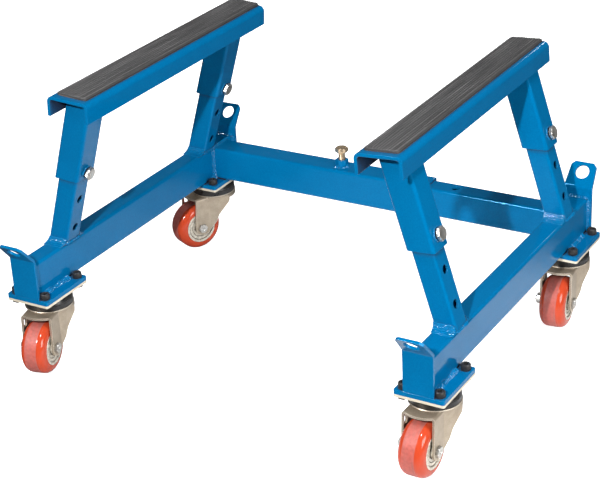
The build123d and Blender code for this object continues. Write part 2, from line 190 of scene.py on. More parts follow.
def scaled(tree, value, low, high, start=0.0, end=1.0):
    """Result that goes from low to high while a value goes from start to end."""
    spread = tree.nodes.new("ShaderNodeMapRange")
    labels = ("Value", "From Min", "From Max", "To Min", "To Max")
    for label, amount in zip(labels, (value, start, end, low, high)):
        feed(tree, amount, spread.inputs[label])
    return spread.outputs["Result"]


world = bpy.data.worlds.new("studio")
world.use_nodes = True
sky_tree = world.node_tree
sky = sky_tree.nodes["Background"]
sky.inputs["Color"].default_value = (1, 1, 1, 1)
sky_path = sky_tree.nodes.new("ShaderNodeLightPath")
sky_light = scaled(sky_tree, sky_path.outputs["Is Glossy Ray"], WORLD_LIGHT, WORLD_MIRRORED)
sky_seen = computed(sky_tree, "MULTIPLY", sky_path.outputs["Is Camera Ray"], WORLD_SEEN)
feed(sky_tree, computed(sky_tree, "MAXIMUM", sky_light, sky_seen), sky.inputs["Strength"])
bpy.context.scene.world = world
print("world light", WORLD_LIGHT, "and", WORLD_MIRRORED, "where it is mirrored")

# %% [markdown]
# ## Floor
# Glossy paint mirrors what it stands on. The right-hand faces near the floor look pale in the photograph, and
# the bunks stay deep blue, so a white paper of limited size lies under the dolly and out to its right, and
# the studio beyond it is dark. It could be a second plane with its own edge, but one floor whose tone fades
# with the distance from the paper's middle leaves no line. The camera itself sees a plain pale floor.

# %% Floor
FLOOR_SIZE = 30
FLOOR_ROUGHNESS = 0.9
FLOOR_BEYOND = 0.06
FLOOR_GLOW = 0.85
PAPER_MIDDLE = (0.20, 0.00, 0.0)
PAPER_HALF = (0.46, 0.36, 1.0)
PAPER_FADE = (0.80, 1.20)
PAPER_WHITE = 0.80

bpy.ops.mesh.primitive_plane_add(size=FLOOR_SIZE)
floor = bpy.context.object
floor.name = "floor"
floor_paper = bpy.data.materials.new("floor_paper")
floor_paper.use_nodes = True
floor_tree = floor_paper.node_tree
floor_shader = floor_tree.nodes["Principled BSDF"]
floor_shader.inputs["Roughness"].default_value = FLOOR_ROUGHNESS
floor_shader.inputs["Emission Color"].default_value = (1, 1, 1, 1)
reach = floor_tree.nodes.new("ShaderNodeTexCoord").outputs["Object"]
for step, amount in (("SUBTRACT", PAPER_MIDDLE), ("ABSOLUTE", None), ("DIVIDE", PAPER_HALF)):
    measure = floor_tree.nodes.new("ShaderNodeVectorMath")
    measure.operation = step
    feed(floor_tree, reach, measure.inputs[0])
    if amount:
        measure.inputs[1].default_value = amount
    reach = measure.outputs["Vector"]
split = floor_tree.nodes.new("ShaderNodeSeparateXYZ")
feed(floor_tree, reach, split.inputs["Vector"])
farthest = computed(floor_tree, "MAXIMUM", split.outputs["X"], split.outputs["Y"])
paper_tone = scaled(floor_tree, farthest, PAPER_WHITE, FLOOR_BEYOND, *PAPER_FADE)
to_camera = floor_tree.nodes.new("ShaderNodeLightPath").outputs["Is Camera Ray"]
seen_tone = computed(floor_tree, "MULTIPLY", to_camera, PAPER_WHITE)
floor_tone = computed(floor_tree, "MAXIMUM", paper_tone, seen_tone)
feed(floor_tree, floor_tone, floor_shader.inputs["Base Color"])
glow = computed(floor_tree, "MULTIPLY", to_camera, FLOOR_GLOW)
feed(floor_tree, glow, floor_shader.inputs["Emission Strength"])
floor.data.materials.append(floor_paper)
print("a paper", [2 * half for half in PAPER_HALF[:2]], "m on a pale floor")

# %% [markdown]
# ## Shared surface effects
# Real finishes are never one colour. Three effects come back in many of them, so each is a shader node group
# that is built once: slow patches with a fine grain, dirt and painted shade that gather in inside corners,
# and wear on outside edges. A group gives out masks only, and each material mixes its own colours by them.

# %% Patches and grain
def new_group(name, inputs, outputs):
    """Empty shader group with named number inputs and number outputs."""
    group = bpy.data.node_groups.new(name, "ShaderNodeTree")
    for label, value in inputs.items():
        socket = group.interface.new_socket(label, in_out="INPUT", socket_type="NodeSocketFloat")
        socket.default_value = value
    for label in outputs:
        group.interface.new_socket(label, in_out="OUTPUT", socket_type="NodeSocketFloat")
    return group, group.nodes.new("NodeGroupInput"), group.nodes.new("NodeGroupOutput")


def patches_and_grain():
    """Slow patches and a fine grain, both from 0 to 1, at sizes given in marks per metre."""
    group, inside, outside = new_group("patches_and_grain", {"Patches per m": 30, "Grains per m": 900},
                                       ("Patches", "Grain"))
    place = group.nodes.new("ShaderNodeTexCoord")
    for label, scale, detail in (("Patches", "Patches per m", 3), ("Grain", "Grains per m", 2)):
        cloud = group.nodes.new("ShaderNodeTexNoise")
        cloud.inputs["Detail"].default_value = detail
        feed(group, place.outputs["Object"], cloud.inputs["Vector"])
        feed(group, inside.outputs[scale], cloud.inputs["Scale"])
        feed(group, cloud.outputs["Fac"], outside.inputs[label])
    return group


PATCHES = patches_and_grain()
print("node group", PATCHES.name)

# %% Dirt, painted shade and wear
SHADE_SAMPLES = 4
FACE_ALIGNMENT = 0.98
EDGE_ALIGNMENT = 0.80


def corner_dirt_and_shade():
    """Mask of dirt and painted shade in inside corners, within a reach in metres, as the share of open sky
    falls.
    """
    group, inside, outside = new_group("corner_dirt_and_shade", {"Reach": 0.004, "Clean": 0.75, "Dirty": 0.35},
                                       ("Dirt",))
    shade = group.nodes.new("ShaderNodeAmbientOcclusion")
    shade.samples = SHADE_SAMPLES
    feed(group, inside.outputs["Reach"], shade.inputs["Distance"])
    # Painted shade with dirt: the mask follows ambient occlusion, so corners darken where they shut out
    # light.
    dirt_and_shade = scaled(group, shade.outputs["AO"], 0, 1, inside.outputs["Clean"], inside.outputs["Dirty"])
    feed(group, dirt_and_shade, outside.inputs["Dirt"])
    return group


def edge_wear():
    """Mask that rises on outside edges, within a width in metres."""
    group, inside, outside = new_group("edge_wear", {"Width": 0.0012}, ("Wear",))
    rounded = group.nodes.new("ShaderNodeBevel")
    rounded.samples = SHADE_SAMPLES
    feed(group, inside.outputs["Width"], rounded.inputs["Radius"])
    surface = group.nodes.new("ShaderNodeNewGeometry")
    along = group.nodes.new("ShaderNodeVectorMath")
    along.operation = "DOT_PRODUCT"
    feed(group, rounded.outputs["Normal"], along.inputs[0])
    feed(group, surface.outputs["Normal"], along.inputs[1])
    wear = scaled(group, along.outputs["Value"], 0, 1, FACE_ALIGNMENT, EDGE_ALIGNMENT)
    feed(group, wear, outside.inputs["Wear"])
    return group


DIRT_AND_SHADE = corner_dirt_and_shade()
WEAR = edge_wear()
print("node groups:", [group.name for group in bpy.data.node_groups])

# %% [markdown]
# ## Materials
# Every finish follows the same recipe: a base colour that drifts between two tones by the patches, a darker
# tone in the corners for dirt and painted shade, another on worn edges, and a fine bump from the grain. One
# function builds it, and each finish only gives its own tones, gloss and sizes. The bunk channels, legs and
# welds have paints of their own, which differ from the frame's in how far the painted shade and dirt reach
# and how the paint mirrors.

# %% Material recipe
EDGE_COAT_IOR = 2.0
EDGE_COAT_ROUGHNESS = 0.12


def place_group(tree, group, **values):
    """Group node in a material, with its inputs set."""
    placed = tree.nodes.new("ShaderNodeGroup")
    placed.node_tree = group
    for label, value in values.items():
        placed.inputs[label.replace("_", " ")].default_value = value
    return placed


def mix_colours(tree, share, first, second):
    """Colour that goes from the first to the second as the share goes from 0 to 1."""
    mixer = tree.nodes.new("ShaderNodeMix")
    mixer.data_type = "RGBA"
    for value, label in ((share, "Factor"), (first, "A"), (second, "B")):
        feed(tree, value, mixer.inputs[label])
    return mixer.outputs["Result"]


def new_finish(name, tones, corner_tone, worn_tone, rough, metal=0.0, ior=1.45, mirror_tint=(1, 1, 1),
               marks=(30, 900), grain=0.0, bump=0.00003, dirt_and_shade_reach=0.004, dirt_and_shade_share=0.8, open_sky=0.75,
               enclosed=0.35, wear_width=0.0010, wear_share=0.5, edge_gloss=0.0):
    """Material with drifting colour, dirt and painted shade in corners, worn edges and a fine bump."""
    material = bpy.data.materials.get(name) or bpy.data.materials.new(name)
    material.use_nodes = True
    tree = material.node_tree
    tree.nodes.clear()
    out = tree.nodes.new("ShaderNodeOutputMaterial")
    shader = tree.nodes.new("ShaderNodeBsdfPrincipled")
    shader.name = "finish"
    feed(tree, shader.outputs["BSDF"], out.inputs["Surface"])
    cloud = place_group(tree, PATCHES, Patches_per_m=marks[0], Grains_per_m=marks[1])
    dirt_and_shade = place_group(tree, DIRT_AND_SHADE, Reach=dirt_and_shade_reach, Clean=open_sky, Dirty=enclosed)
    wear = place_group(tree, WEAR, Width=wear_width)
    patches = scaled(tree, cloud.outputs["Patches"], -grain / 2, 1 - grain / 2)
    drift = computed(tree, "MULTIPLY_ADD", cloud.outputs["Grain"], grain, patches)
    colour = mix_colours(tree, drift, *tones)
    colour = mix_colours(tree, scaled(tree, wear.outputs["Wear"], 0, wear_share), colour, worn_tone)
    # Painted shade with dirt: the corner tone goes where the occlusion mask rises.
    colour = mix_colours(tree, scaled(tree, dirt_and_shade.outputs["Dirt"], 0, dirt_and_shade_share), colour, corner_tone)
    feed(tree, colour, shader.inputs["Base Color"])
    feed(tree, scaled(tree, cloud.outputs["Patches"], *rough), shader.inputs["Roughness"])
    shader.inputs["Metallic"].default_value = metal
    shader.inputs["IOR"].default_value = ior
    shader.inputs["Specular Tint"].default_value = (*mirror_tint, 1)
    if edge_gloss:
        feed(tree, scaled(tree, wear.outputs["Wear"], 0, edge_gloss), shader.inputs["Coat Weight"])
        shader.inputs["Coat IOR"].default_value = EDGE_COAT_IOR
        shader.inputs["Coat Roughness"].default_value = EDGE_COAT_ROUGHNESS
    lift = tree.nodes.new("ShaderNodeBump")
    lift.inputs["Strength"].default_value = 1.0
    lift.inputs["Distance"].default_value = bump
    feed(tree, cloud.outputs["Grain"], lift.inputs["Height"])
    feed(tree, lift.outputs["Normal"], shader.inputs["Normal"])
    return material


print("material recipe ready")

# %% Paints
BLUE_PAINT = dict(
    tones=((0.0, 0.122, 0.298), (0.0, 0.142, 0.338)), corner_tone=(0.045, 0.028, 0.020),
    worn_tone=(0.01, 0.20, 0.43), rough=(0.07, 0.12), ior=1.5, mirror_tint=(0.12, 0.5, 0.9),
    marks=(26, 520), grain=3.0, bump=0.000006, dirt_and_shade_reach=0.005, dirt_and_shade_share=0.9, edge_gloss=0.8)
PAINTS = {
    "blue_powder_coat": BLUE_PAINT,
    # Painted shade: the long reach darkens the whole inside of the channel's fold, where little light gets
    # in.
    "channel_paint": dict(BLUE_PAINT, corner_tone=(0.030, 0.021, 0.022), dirt_and_shade_reach=0.07,
                          dirt_and_shade_share=0.85, open_sky=0.85, enclosed=0.5),
    "weld_paint": dict(BLUE_PAINT, rough=(0.07, 0.14), mirror_tint=(0.85, 0.92, 1.0), marks=(26, 700),
                       grain=1.2, bump=0.00002, dirt_and_shade_reach=0.002, dirt_and_shade_share=0.8, edge_gloss=0.0),
    # Painted shade: a dark band below the sleeves' ends, where they overhang the legs.
    "leg_paint": dict(BLUE_PAINT, corner_tone=(0.030, 0.020, 0.018), dirt_and_shade_reach=0.008, open_sky=0.92,
                      enclosed=0.6),
}
FINISHES = {name: new_finish(name, **recipe) for name, recipe in PAINTS.items()}
print("paints:", sorted(PAINTS))

# %% Metals, rubber and polyurethane
BARE_FINISHES = {
    "pad_rubber": dict(
        tones=((0.030, 0.029, 0.030), (0.052, 0.051, 0.052)), corner_tone=(0.013, 0.012, 0.013),
        worn_tone=(0.12, 0.118, 0.115), rough=(0.60, 0.80), marks=(60, 1100), bump=0.00025,
        dirt_and_shade_reach=0.0012, dirt_and_shade_share=0.9),
    "black_oxide": dict(
        tones=((0.020, 0.020, 0.021), (0.045, 0.043, 0.042)), corner_tone=(0.006, 0.006, 0.006),
        worn_tone=(0.16, 0.15, 0.14), rough=(0.32, 0.48), metal=0.3, marks=(200, 2500), dirt_and_shade_reach=0.002),
    "bright_zinc": dict(
        tones=((0.46, 0.45, 0.42), (0.66, 0.64, 0.60)), corner_tone=(0.04, 0.035, 0.03),
        worn_tone=(0.95, 0.93, 0.88), rough=(0.22, 0.36), metal=0.8, marks=(120, 2200), dirt_and_shade_reach=0.003,
        wear_share=0.9),
    "hub_zinc": dict(
        tones=((0.55, 0.50, 0.41), (0.70, 0.65, 0.55)), corner_tone=(0.16, 0.13, 0.10),
        worn_tone=(0.98, 0.95, 0.90), rough=(0.20, 0.34), metal=0.35, marks=(150, 1800),
        dirt_and_shade_reach=0.0025, wear_share=0.9, wear_width=0.0006),
    "yellow_zinc": dict(
        tones=((0.62, 0.42, 0.24), (0.86, 0.70, 0.50)), corner_tone=(0.04, 0.028, 0.022),
        worn_tone=(0.95, 0.84, 0.66), rough=(0.18, 0.30), metal=0.75, marks=(220, 2200), dirt_and_shade_reach=0.002),
    "fork_zinc": dict(
        tones=((0.33, 0.265, 0.195), (0.56, 0.475, 0.37)), corner_tone=(0.09, 0.065, 0.055),
        worn_tone=(0.95, 0.88, 0.76), rough=(0.31, 0.45), metal=0.65, marks=(90, 900), grain=0.8,
        bump=0.00002, dirt_and_shade_reach=0.006, wear_share=0.9, wear_width=0.0016),
    "plate_zinc": dict(
        tones=((0.70, 0.61, 0.46), (0.84, 0.76, 0.62)), corner_tone=(0.14, 0.105, 0.075),
        worn_tone=(0.92, 0.86, 0.74), rough=(0.34, 0.48), metal=0.25, marks=(60, 1500), dirt_and_shade_share=0.5),
    "ring_black": dict(
        tones=((0.010, 0.010, 0.011), (0.030, 0.029, 0.028)), corner_tone=(0.005, 0.005, 0.005),
        worn_tone=(0.10, 0.095, 0.09), rough=(0.22, 0.36), marks=(110, 1800), dirt_and_shade_reach=0.002,
        wear_share=0.8),
    "wheel_polyurethane": dict(
        tones=((0.43, 0.042, 0.014), (0.54, 0.064, 0.022)), corner_tone=(0.18, 0.016, 0.010),
        worn_tone=(0.74, 0.09, 0.035), rough=(0.08, 0.15), marks=(50, 1200), bump=0.000005,
        dirt_and_shade_reach=0.003, wear_share=0.0),
}
for name, recipe in BARE_FINISHES.items():
    FINISHES[name] = new_finish(name, **recipe)
print("finishes:", sorted(FINISHES))

# %% Dust, sheen and glue
SPECK_GRAINS = 1500
# Each row has a finish, the mask, two tones, a roughness and a number of specks per metre.
MASKED_TONES = (
    ("wheel_polyurethane", "tread", ((0.28, 0.050, 0.038), (0.62, 0.145, 0.114)), 0.50, 240),
    ("wheel_polyurethane", "grime", ((0.26, 0.075, 0.062), (0.44, 0.150, 0.125)), 0.60, 260),
    # Rib tops: dust and a painted sheen that stands in for the light their shape would catch.
    ("pad_rubber", "rib_dust_and_sheen", ((0.065, 0.064, 0.066), (0.175, 0.172, 0.172)), 0.8, 300),
    ("pad_rubber", "glue", ((0.12, 0.07, 0.04), (0.40, 0.26, 0.14)), 0.7, 240),
)


def add_masked_tone(slot, mask, tones, rough, specks_per_m):
    """Second tone for a finish where a mask painted on the mesh is 1, as on a dusty tread."""
    tree = FINISHES[slot].node_tree
    base, dull = (tree.nodes["finish"].inputs[label] for label in ("Base Color", "Roughness"))
    painted = tree.nodes.new("ShaderNodeAttribute")
    painted.attribute_name = mask
    specks = place_group(tree, PATCHES, Patches_per_m=specks_per_m, Grains_per_m=SPECK_GRAINS)
    tone = mix_colours(tree, specks.outputs["Patches"], *tones)
    feed(tree, mix_colours(tree, painted.outputs["Fac"], base.links[0].from_socket, tone), base)
    mixer = tree.nodes.new("ShaderNodeMix")
    for value, label in ((painted.outputs["Fac"], "Factor"), (dull.links[0].from_socket, "A"), (rough, "B")):
        feed(tree, value, mixer.inputs[label])
    feed(tree, mixer.outputs["Result"], dull)


for row in MASKED_TONES:
    add_masked_tone(*row)
print("second tones for", [mask for _, mask, *_ in MASKED_TONES])

# %% [markdown]
# ## Mesh helpers
# Most small hardware is round or six-sided about an axis, so it can be drawn as rings of points at rising
# heights and skinned. A ring's radius may depend on its angle, which turns a round bar into a hexagon or a
# knurl with no boolean cuts. Closed sections, such as a tyre's, are spun instead.

# %% Turned and spun shapes
NEARLY_PARALLEL = 0.99


def seat(origin, axis, across=(0, 0, 1)):
    """Placement with its Z along an axis, and its X as near as can be to a direction across it."""
    z = Vector(axis).normalized()
    hint = Vector(across)
    if abs(hint.normalized().dot(z)) > NEARLY_PARALLEL:
        hint = Vector((1, 0, 0))
    x = (hint - z * hint.dot(z)).normalized()
    return Matrix.Translation(Vector(origin)) @ Matrix((x, z.cross(x), z)).transposed().to_4x4()


def skin(rings):
    """Closed skin over rings of points that follow one another, with both ends capped."""
    count = len(rings[0])
    points = [point for ring in rings for point in ring]
    faces = []
    for start in range(0, count * (len(rings) - 1), count):
        for k in range(count):
            a, b = start + k, start + (k + 1) % count
            faces.append((a, b, b + count, a + count))
    faces.append(tuple(reversed(range(count))))
    faces.append(tuple(range(len(points) - count, len(points))))
    return points, faces


def turned(levels, steps):
    """Shape about Z from pairs of height and radius, in millimetres; a radius may depend on the angle."""
    rings = []
    for height, radius in levels:
        ring = []
        for k in range(steps):
            angle = 2 * math.pi * k / steps
            reach = radius(angle) if callable(radius) else radius
            ring.append(Vector((reach * math.cos(angle), reach * math.sin(angle), height)) * MM)
        rings.append(ring)
    return skin(rings)


def spun(section, steps):
    """Closed section of radius and height pairs, in millimetres, spun right round Z."""
    count = len(section)
    points = []
    for k in range(steps):
        angle = 2 * math.pi * k / steps
        points += [Vector((r * math.cos(angle), r * math.sin(angle), z)) * MM for r, z in section]
    faces = []
    for k in range(steps):
        here, there = k * count, (k + 1) % steps * count
        for i in range(count):
            j = (i + 1) % count
            faces.append((here + i, here + j, there + j, there + i))
    return points, faces


def hexagon(flats, cap=None):
    """Radius by angle of a hexagon across its flats, with a corner at angle 0, cut round at a cap radius."""
    def radius(angle):
        turn = angle % (math.pi / 3) - math.pi / 6
        reach = flats / 2 / math.cos(turn)
        return min(reach, cap) if cap else reach
    return radius


print("turned and spun shapes ready")

# %% Pieces from shapes
def gathered(shapes):
    """One set of points and faces from pairs of placement and shape."""
    points, faces = [], []
    for place, (shape_points, shape_faces) in shapes:
        start = len(points)
        points += [place @ Vector(point) for point in shape_points]
        faces += [tuple(start + k for k in face) for face in shape_faces]
    return points, faces


def add_piece(name, shape, body, slot, sharp=35, replaces=(), finish=None):
    """Mesh object that rides on a body and takes a finish."""
    points, faces = shape
    mesh = bpy.data.meshes.new(name)
    mesh.from_pydata([tuple(point) for point in points], [], faces)
    shell = bmesh.new()
    shell.from_mesh(mesh)
    bmesh.ops.recalc_face_normals(shell, faces=shell.faces)
    shell.to_mesh(mesh)
    shell.free()
    mesh.shade_smooth()
    mesh.set_sharp_from_angle(angle=math.radians(sharp))
    piece = bpy.data.objects.new(name, mesh)
    bpy.context.scene.collection.objects.link(piece)
    mesh.materials.append(FINISHES[finish or slot])
    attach(piece, body)
    if replaces:
        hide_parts(*replaces)
    return piece


def slot_of(node):
    """Material slot that the CAD model gives a node."""
    return nodes[node].data.materials[0].name


def stand_in(name, node, body, *shapes, **options):
    """Piece from pairs of placement and shape that replaces a CAD node and takes its slot."""
    return add_piece(name, gathered(shapes), body, slot_of(node), replaces=(node,), **options)


def paint_mask(piece, name, values):
    """Mask on a piece, with one number for each of its points."""
    piece.data.attributes.new(name, "FLOAT", "POINT").data.foreach_set("value", values)


print("piece helpers ready")

# %% Measures of the CAD pieces
def span_along(node, axis):
    """Middle of a node across an axis, and its lowest and highest reach along it."""
    turn = seat((0, 0, 0), axis).to_3x3().transposed()
    local = [turn @ vertex.co for vertex in nodes[node].data.vertices]
    low = Vector([min(point[i] for point in local) for i in range(3)])
    high = Vector([max(point[i] for point in local) for i in range(3)])
    middle = (low + high) / 2
    middle.z = 0
    return turn.transposed() @ middle, low.z, high.z


def half_span(node, axis):
    """Half of a node's length along an axis, in millimetres."""
    _, low, high = span_along(node, axis)
    return (high - low) / 2 / MM


def wobble(x, y, z):
    """Smooth noise between about -1 and 1, the same on every run."""
    return noise.noise(Vector((x, y, z)))


def between(value, most=1.0):
    """Value held between 0 and the most it may be."""
    return max(0.0, min(most, value))


print("a rail is", round(2 * half_span("left_rail", (0, 1, 0)), 1), "mm long")

# %% [markdown]
# ## Rubber pads
# Each bunk carries a strip of ribbed rubber mat, glued to the steel. The ribs are shallow and worn, so they
# hardly show except as streaks. A bump map could draw them, but the outline would stay flat, so the section
# is drawn once, with a rounded shoulder at each side, and repeated along the bunk. The ends narrow and sink
# over a few millimetres to round the corners, and a smooth noise keeps the strip from being quite straight.
# Two masks go with it: one for glue that has squeezed out along the bottom edge, and one that lightens the
# tops of the ribs in long streaks, partly dust and partly a painted sheen that stands in for their shading.

# %% Section of a pad
PAD_RIBS = 11
RIB_SHARE = 0.55
RIB_HEIGHT = 0.85
RIB_SLOPE = 0.4
RIB_FLANK = 0.8
RIB_KEPT = 0.7
RIB_UNEVEN = 0.6
RIB_STRIDE = 1.7
RIB_SEED = 0.3
SHOULDER = 1.6
GLUE_HEIGHT = 0.45


def pad_section(width, height):
    """Section of the ribbed strip, in millimetres across and up from its glued face."""
    half = width / 2
    points = [(-half, 0), (half, 0), (half, GLUE_HEIGHT), (half, height - SHOULDER)]
    pitch = (width - 2 * SHOULDER) / PAD_RIBS
    low = height - RIB_HEIGHT
    for rib in reversed(range(PAD_RIBS)):
        middle = -half + SHOULDER + (rib + 0.5) * pitch
        reach = RIB_SHARE * pitch / 2
        worn = RIB_HEIGHT * (RIB_KEPT + RIB_UNEVEN * wobble(rib * RIB_STRIDE, RIB_SEED, 0))
        right, left = middle + reach, middle - reach
        points += [(right + RIB_SLOPE, low), (right, low + worn * RIB_FLANK), (right - RIB_SLOPE, low + worn),
                   (left + RIB_SLOPE, low + worn), (left, low + worn * RIB_FLANK), (left - RIB_SLOPE, low)]
    return points + [(-half, height - SHOULDER), (-half, GLUE_HEIGHT)]


print("a pad has", PAD_RIBS, "ribs")

# %% Ends, glue, dust and sheen of a pad
PAD_STATIONS = 90
CORNER_STATIONS = 8
CORNER_RADIUS = 4.5
GLUE_LEAST = 0.25
GLUE_RIGHT = 0.3
GLUE_PATCHES = 1.3
GLUE_PER_MM = 0.045
GLUE_SEED = 2.5
DUST_SHEEN_MIDDLE = 0.5
DUST_SHEEN_STREAKS = 1.1
DUST_SHEEN_PER_MM = (1.3, 0.012)
DUST_SHEEN_SEED = 7.1


def end_stations(length):
    """Distances along the strip, close together where the corners round."""
    quarter = math.pi / 2
    fine = [CORNER_RADIUS * (1 - math.cos(quarter * k / CORNER_STATIONS)) for k in range(CORNER_STATIONS)]
    straight = length - 2 * CORNER_RADIUS
    middle = [CORNER_RADIUS + straight * k / PAD_STATIONS for k in range(PAD_STATIONS + 1)]
    return fine + middle + [length - distance for distance in reversed(fine)]


def glue_at(distance, x):
    """Share of squeezed-out glue at a place along the strip, more on its right side."""
    patches = wobble(distance * GLUE_PER_MM, x, GLUE_SEED)
    return between(GLUE_LEAST + GLUE_RIGHT * (x > 0) + GLUE_PATCHES * patches)


def dust_and_sheen_at(distance, x):
    """Share of lighter tone on the tops of the ribs in long streaks, partly dust and partly painted sheen."""
    streaks = wobble(x * DUST_SHEEN_PER_MM[0], distance * DUST_SHEEN_PER_MM[1], DUST_SHEEN_SEED)
    return between(DUST_SHEEN_MIDDLE + DUST_SHEEN_STREAKS * streaks)


print("corners of", CORNER_RADIUS, "mm radius")

# %% Pads
CORNER_SINK = 0.22
PAD_WAVE = 0.5
WAVE_SHARE = 0.4
WAVES_PER_MM = (0.04, 0.012)
DUST_SHEEN_DEPTH = 0.6 * RIB_HEIGHT
PAD_SHARP = 60


def make_pad(side):
    """Ribbed strip in the frame's own place, with rounded corners."""
    node = side + "_pad"
    up = Vector(mounts[side + "_pad_face"]["axis"]).normalized()
    across = Vector((up.z, 0, -up.x))
    middle, bottom, top = span_along(node, up)
    low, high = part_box(node)
    width = 2 * half_span(node, across)
    height = (top - bottom) / MM
    centre = middle + up * bottom
    section = pad_section(width, height)
    length = (high[1] - low[1]) / MM
    stations = end_stations(length)
    rings = []
    for distance in stations:
        from_end = min(distance, length - distance)
        away = max(0.0, CORNER_RADIUS - from_end)
        inset = CORNER_RADIUS - math.sqrt(CORNER_RADIUS ** 2 - away ** 2)
        sink = 1 - CORNER_SINK * (away / CORNER_RADIUS) ** 3
        ring = []
        for x, z in section:
            wave = wobble(x * WAVES_PER_MM[0], distance * WAVES_PER_MM[1], side == "left") * PAD_WAVE
            bow = x * (1 - 2 * inset / width) + WAVE_SHARE * wave
            dip = min(0.0, wave) * WAVE_SHARE * min(1, z)
            spot = centre + across * (bow * MM) + up * (z * sink * MM) + up * (dip * MM)
            ring.append(Vector((spot.x, low[1] + distance * MM, spot.z)))
        rings.append(ring)
    piece = add_piece(side + "_rubber_pad", skin(rings), side + "_bunk", slot_of(node), sharp=PAD_SHARP,
                      replaces=(node,))
    places = [(distance, x, z) for distance in stations for x, z in section]
    dusty = height - DUST_SHEEN_DEPTH
    paint_mask(piece, "glue", [glue_at(distance, x) if z == 0 else 0.0 for distance, x, z in places])
    # Painted sheen with dust: the tops of the ribs are lightened in streaks.
    paint_mask(piece, "rib_dust_and_sheen", [dust_and_sheen_at(distance, x) if z > dusty else 0.0 for distance, x, z in places])
    return piece


for side in SIDES:
    pad = make_pad(side)
    print(pad.name, len(pad.data.vertices), "points")

# %% [markdown]
# ## Wheels
# The tyre is cast polyurethane: a flat tread that has picked up dust, and glossy shoulders that round off to
# the hub. It is one closed section, spun about the axle. A mask marks the tread, so one material can be dusty
# there and glossy beside it, and a second mask spreads grime round the tread in streaks, more on some wheels
# than on others. The hub is pressed in rings with narrow grooves between them, and each corner has a small
# bevel, since those are what glitter in the photograph. A bevel modifier would do it too, but cutting the
# corners of the section before it is spun costs nothing.

# %% Sections of the tyre and the hub
SHOULDER_STEPS = 12
TREAD_SOFT = 0.35
TREAD_LINES = 4
INNER_DUST = 2
GRIME_MOST = 0.85
GRIME_STREAKS = 1.1
GRIME_ROUND = 2.2
GRIME_PER_MM = 0.45
TREAD_DARKER_TOP_BOTTOM = 0.6
TREAD_DARKER_NARROWING = 8
HUB_BEVEL = 0.5
BEVEL_SHARE = 0.3


def tyre_section(bore, outside, tread, side):
    """Closed section of radius and distance along the axle, in millimetres, with the tread's mask."""
    right = [(outside, tread - TREAD_SOFT, 1.0)]
    for step in range(SHOULDER_STEPS + 1):
        angle = math.pi / 2 * (1 - step / SHOULDER_STEPS)
        radius = bore + (outside - bore) * math.sin(angle)
        right.append((radius, tread + (side - tread) * math.cos(angle), 0.0))
    dusty = [1.0] * (INNER_DUST + 1) + [0.0] * (len(right) - INNER_DUST - 1)
    left = [(radius, -along, mask) for (radius, along, _), mask in reversed(list(zip(right, dusty)))]
    lines = range(1 - TREAD_LINES, TREAD_LINES)
    return left + [(outside, (tread - TREAD_SOFT) * k / TREAD_LINES, 1.0) for k in lines] + right


def grime_at(angle, along, least):
    """Share of grime on the tread in streaks round it, made darker towards the top and bottom of the wheel.
    """
    streaks = wobble(GRIME_ROUND * math.cos(angle), GRIME_ROUND * math.sin(angle), along * GRIME_PER_MM)
    # Darker towards the top and bottom of the tread, above and below the axle.
    top_and_bottom = TREAD_DARKER_TOP_BOTTOM * abs(math.sin(angle)) ** TREAD_DARKER_NARROWING
    return between(least + GRIME_STREAKS * streaks + top_and_bottom, GRIME_MOST)


def hub_section(profile):
    """Closed section of a hub from the corners of its right half, each cut by a small bevel."""
    corners = profile + [(radius, -along) for radius, along in reversed(profile)]
    section = []
    for index, (radius, along) in enumerate(corners):
        here = Vector((radius, along))
        for other in (corners[index - 1], corners[(index + 1) % len(corners)]):
            way = Vector(other) - here
            section.append(tuple(here + way.normalized() * min(HUB_BEVEL, way.length * BEVEL_SHARE)))
    return section


print("tyre and hub sections ready")

# %% Tyres and hubs
ROUND_STEPS = 96
HALF_TREAD = 7.8
BORE_GAP = 0.02
WHEEL_GRIME = {"right_front": 0.0, "left_front": 0.15, "right_rear": 0.1, "left_rear": 0.0}
HUB_SHARP = 25
HUB_BORE = 4.06
HUB_BOSS = 9.5
# Each ring of the hub's face has a radius and a depth below the side of the tyre, in millimetres.
HUB_RINGS = ((HUB_BOSS, 3.6), (10.6, 3.6), (10.6, 2.0), (14.6, 2.0), (14.6, 3.6), (15.6, 3.6), (15.6, 1.4),
             (19.8, 1.4), (19.8, 3.0), (20.8, 3.0), (20.8, 0.0))


def wheel_place(corner):
    """Placement at the middle of a wheel, with its Z along the axle, and the axle's direction."""
    roll = joints[corner + "_wheel_roll"]
    axle = Vector(roll["axis"]).normalized()
    trail = Vector(roll["pos_m"]) - Vector(joints[corner + "_swivel_turn"]["pos_m"])
    return seat(roll["pos_m"], axle, (trail.x, trail.y, 0)), axle


def radius_of(node, axis):
    """Half of the box of a node along X, Y or Z, in millimetres."""
    low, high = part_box(node)
    return (high[axis] - low[axis]) / 2 / MM


